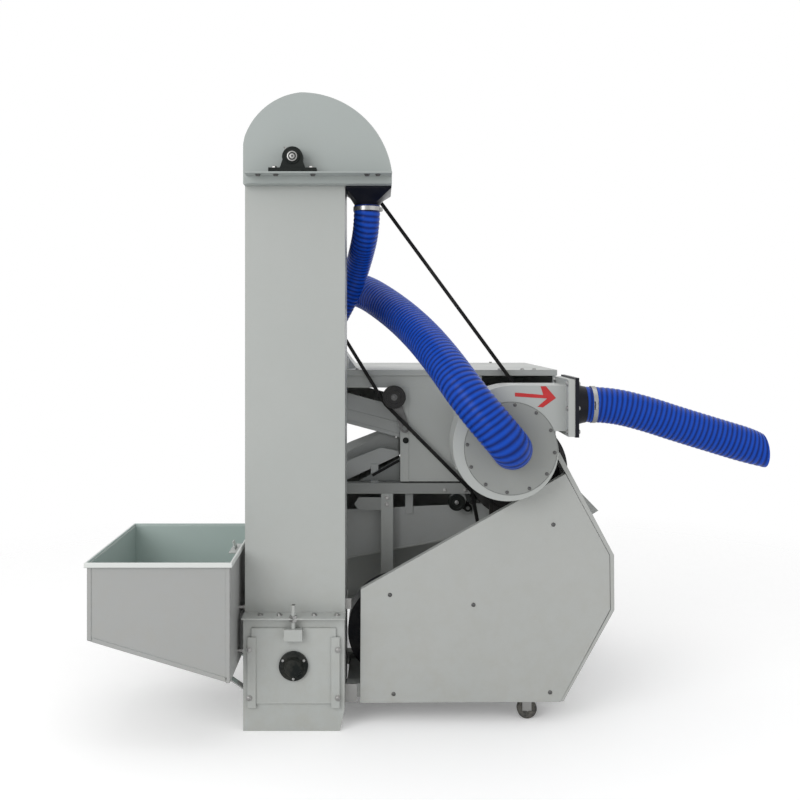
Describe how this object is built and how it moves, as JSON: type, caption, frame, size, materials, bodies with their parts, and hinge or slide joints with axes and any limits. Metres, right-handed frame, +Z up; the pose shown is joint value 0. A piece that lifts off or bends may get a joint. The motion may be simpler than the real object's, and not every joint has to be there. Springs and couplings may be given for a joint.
{
  "type": "gravity separator",
  "caption": "Gravity separator with feed hopper, bucket elevator, suction fan with flexible hoses, rocking sieve deck, hung collecting box, belt drives and discharge spouts on a wheeled frame",
  "frame": {"origin": "middle of the elevator boot's underside, on the floor", "axes": "+X along the machine to the right as seen from the front with the fan and guard, +Y away from the front, +Z up"},
  "size_m": [2.0025, 1.1897, 1.889],
  "materials": {
    "enamel": "satin",
    "deck_enamel": "satin",
    "black_enamel": "satin",
    "bearing_iron": "painted",
    "pulley_iron": "cast",
    "steel": "bright",
    "blue_hose": "ribbed",
    "belt_rubber": "matt",
    "bucket_plastic": "matt",
    "motor_enamel": "satin",
    "wheel_rubber": "matt"
  },
  "bodies": {
    "machine": {"boot_casing": "enamel", "leg_casing": "enamel", "head_casing": "enamel", "bucket_belt": "belt_rubber", "elevator_buckets": "bucket_plastic", "discharge_funnel": "black_enamel", "feed_hose": "blue_hose", "hopper": "enamel", "base_rails": "enamel", "frame_posts": "enamel", "top_rails": "enamel", "front_cover": "enamel", "guard_end_panel": "enamel", "side_plate": "enamel", "housing_back": "enamel", "hood": "enamel", "hood_ports": "enamel", "suction_hose": "blue_hose", "outlet_hose": "blue_hose", "fan_scroll": "enamel", "fan_cover": "enamel", "outlet_transition": "black_enamel", "fan_stand": "enamel", "shaft_bearings": "bearing_iron", "elevator_drive_belt": "belt_rubber", "drive_belts": "belt_rubber", "drive_base": "enamel", "motor_casing": "motor_enamel", "blower_casing": "black_enamel", "suspension_brackets": "steel", "left_chute": "enamel", "right_spout": "enamel", "mounting_feet": "steel", "hose_clamps": "steel"},
    "gate": {"slide_gate": "enamel"},
    "boot_takeup": {"takeup_plates": "enamel", "boot_bearings": "bearing_iron"},
    "boot_rotor": {"boot_drum": "steel"},
    "head_rotor": {"head_drum": "steel", "head_pulley": "pulley_iron"},
    "fan_rotor": {"fan_shaft": "pulley_iron", "fan_impeller": "steel"},
    "crank": {"main_shaft": "steel", "main_pulley": "pulley_iron"},
    "rod": {"connecting_rod": "enamel"},
    "drive": {"drive_shaft": "pulley_iron"},
    "blower": {"blower_rotor": "steel"},
    "belt_arm": {"idler_arm": "steel"},
    "belt_idler": {"idler_pulley": "pulley_iron"},
    "deck": {"deck_tray": "deck_enamel", "deck_screen": "steel"},
    "rockers_left": {"deck_rockers_left": "steel"},
    "rockers_right": {"deck_rockers_right": "steel"},
    "box": {"lower_box": "deck_enamel"},
    "arms_left": {"box_arms_left": "bearing_iron"},
    "arms_right": {"box_arms_right": "bearing_iron"},
    "front_fork": {"front_caster_fork": "steel"},
    "front_wheel": {"front_caster_wheel": "wheel_rubber"},
    "rear_fork": {"rear_caster_fork": "steel"},
    "rear_wheel": {"rear_caster_wheel": "wheel_rubber"}
  },
  "joints": [
    {"name": "gate_slide", "type": "slide", "parent": "machine", "child": "gate", "axis": [0, 0, 1], "range_m": [0, 0.11]},
    {"name": "takeup_slide", "type": "slide", "parent": "machine", "child": "boot_takeup", "axis": [0, 0, 1], "range_m": [0, 0.02]},
    {"name": "boot_drum_spin", "type": "hinge", "parent": "boot_takeup", "child": "boot_rotor", "pos_m": [0, 0, 0.196], "axis": [0, 1, 0], "continuous": true},
    {"name": "head_drum_spin", "type": "hinge", "parent": "machine", "child": "head_rotor", "pos_m": [0, 0, 1.69], "axis": [0, 1, 0], "continuous": true},
    {"name": "fan_spin", "type": "hinge", "parent": "machine", "child": "fan_rotor", "pos_m": [0.639, 0, 0.838], "axis": [0, 1, 0], "continuous": true},
    {"name": "main_shaft_spin", "type": "hinge", "parent": "machine", "child": "crank", "pos_m": [0.703, 0, 0.733], "axis": [0, 1, 0], "continuous": true},
    {"name": "rod_turn", "type": "hinge", "parent": "crank", "child": "rod", "pos_m": [0.708, 0, 0.733], "axis": [0, 1, 0], "continuous": true},
    {"name": "drive_shaft_spin", "type": "hinge", "parent": "machine", "child": "drive", "pos_m": [0.681, 0, 0.23], "axis": [0, 1, 0], "continuous": true},
    {"name": "blower_spin", "type": "hinge", "parent": "machine", "child": "blower", "pos_m": [0.31, 0, 0.226], "axis": [0, 1, 0], "continuous": true},
    {"name": "idler_arm_swing", "type": "hinge", "parent": "machine", "child": "belt_arm", "pos_m": [0.338, 0, 0.862], "axis": [0, 1, 0], "range_deg": [0, 20]},
    {"name": "idler_spin", "type": "hinge", "parent": "belt_arm", "child": "belt_idler", "pos_m": [0.302, 0, 0.965], "axis": [0, 1, 0], "continuous": true},
    {"name": "rocker_left_swing", "type": "hinge", "parent": "machine", "child": "rockers_left", "pos_m": [0.075, 0, 0.7], "axis": [0, 1, 0], "range_deg": [-5, 5], "stiffness_Nm_per_rad": 2000},
    {"name": "deck_turn", "type": "hinge", "parent": "rockers_left", "child": "deck", "pos_m": [0.075, 0, 0.76], "axis": [0, 1, 0], "range_deg": [-5, 5]},
    {"name": "rocker_right_swing", "type": "hinge", "parent": "machine", "child": "rockers_right", "pos_m": [0.54, 0, 0.7], "axis": [0, 1, 0], "range_deg": [-5, 5]},
    {"name": "box_arm_left_swing", "type": "hinge", "parent": "machine", "child": "arms_left", "pos_m": [0.04, 0, 0.6], "axis": [0, 1, 0], "range_deg": [-5, 5], "stiffness_Nm_per_rad": 400},
    {"name": "box_turn", "type": "hinge", "parent": "arms_left", "child": "box", "pos_m": [0.076, 0, 0.566], "axis": [0, 1, 0], "range_deg": [-5, 5]},
    {"name": "box_arm_right_swing", "type": "hinge", "parent": "machine", "child": "arms_right", "pos_m": [0.515, 0, 0.622], "axis": [0, 1, 0], "range_deg": [-5, 5]},
    {"name": "front_caster_swivel", "type": "hinge", "parent": "machine", "child": "front_fork", "pos_m": [0.69, -0.033, 0], "axis": [0, 0, 1], "continuous": true},
    {"name": "front_wheel_roll", "type": "hinge", "parent": "front_fork", "child": "front_wheel", "pos_m": [0.704, -0.033, 0.03], "axis": [0, 1, 0], "continuous": true},
    {"name": "rear_caster_swivel", "type": "hinge", "parent": "machine", "child": "rear_fork", "pos_m": [0.76, 0.84, 0], "axis": [0, 0, 1], "continuous": true},
    {"name": "rear_wheel_roll", "type": "hinge", "parent": "rear_fork", "child": "rear_wheel", "pos_m": [0.774, 0.84, 0.03], "axis": [0, 1, 0], "continuous": true}
  ],
  "couplings": [
    {"joint": "main_shaft_spin", "follows": "drive_shaft_spin", "ratio": 0.28481},
    {"joint": "head_drum_spin", "follows": "drive_shaft_spin", "ratio": 0.28481},
    {"joint": "boot_drum_spin", "follows": "drive_shaft_spin", "ratio": 0.28481},
    {"joint": "rod_turn", "follows": "drive_shaft_spin", "ratio": -0.28481},
    {"joint": "fan_spin", "follows": "drive_shaft_spin", "ratio": 2.1333},
    {"joint": "blower_spin", "follows": "drive_shaft_spin", "ratio": 1.7778},
    {"joint": "idler_spin", "follows": "drive_shaft_spin", "ratio": 1.2162},
    {"joint": "deck_turn", "follows": "rocker_left_swing", "ratio": -1},
    {"joint": "rocker_right_swing", "follows": "rocker_left_swing", "ratio": 1},
    {"joint": "box_turn", "follows": "box_arm_left_swing", "ratio": -1},
    {"joint": "box_arm_right_swing", "follows": "box_arm_left_swing", "ratio": 1}
  ]
}
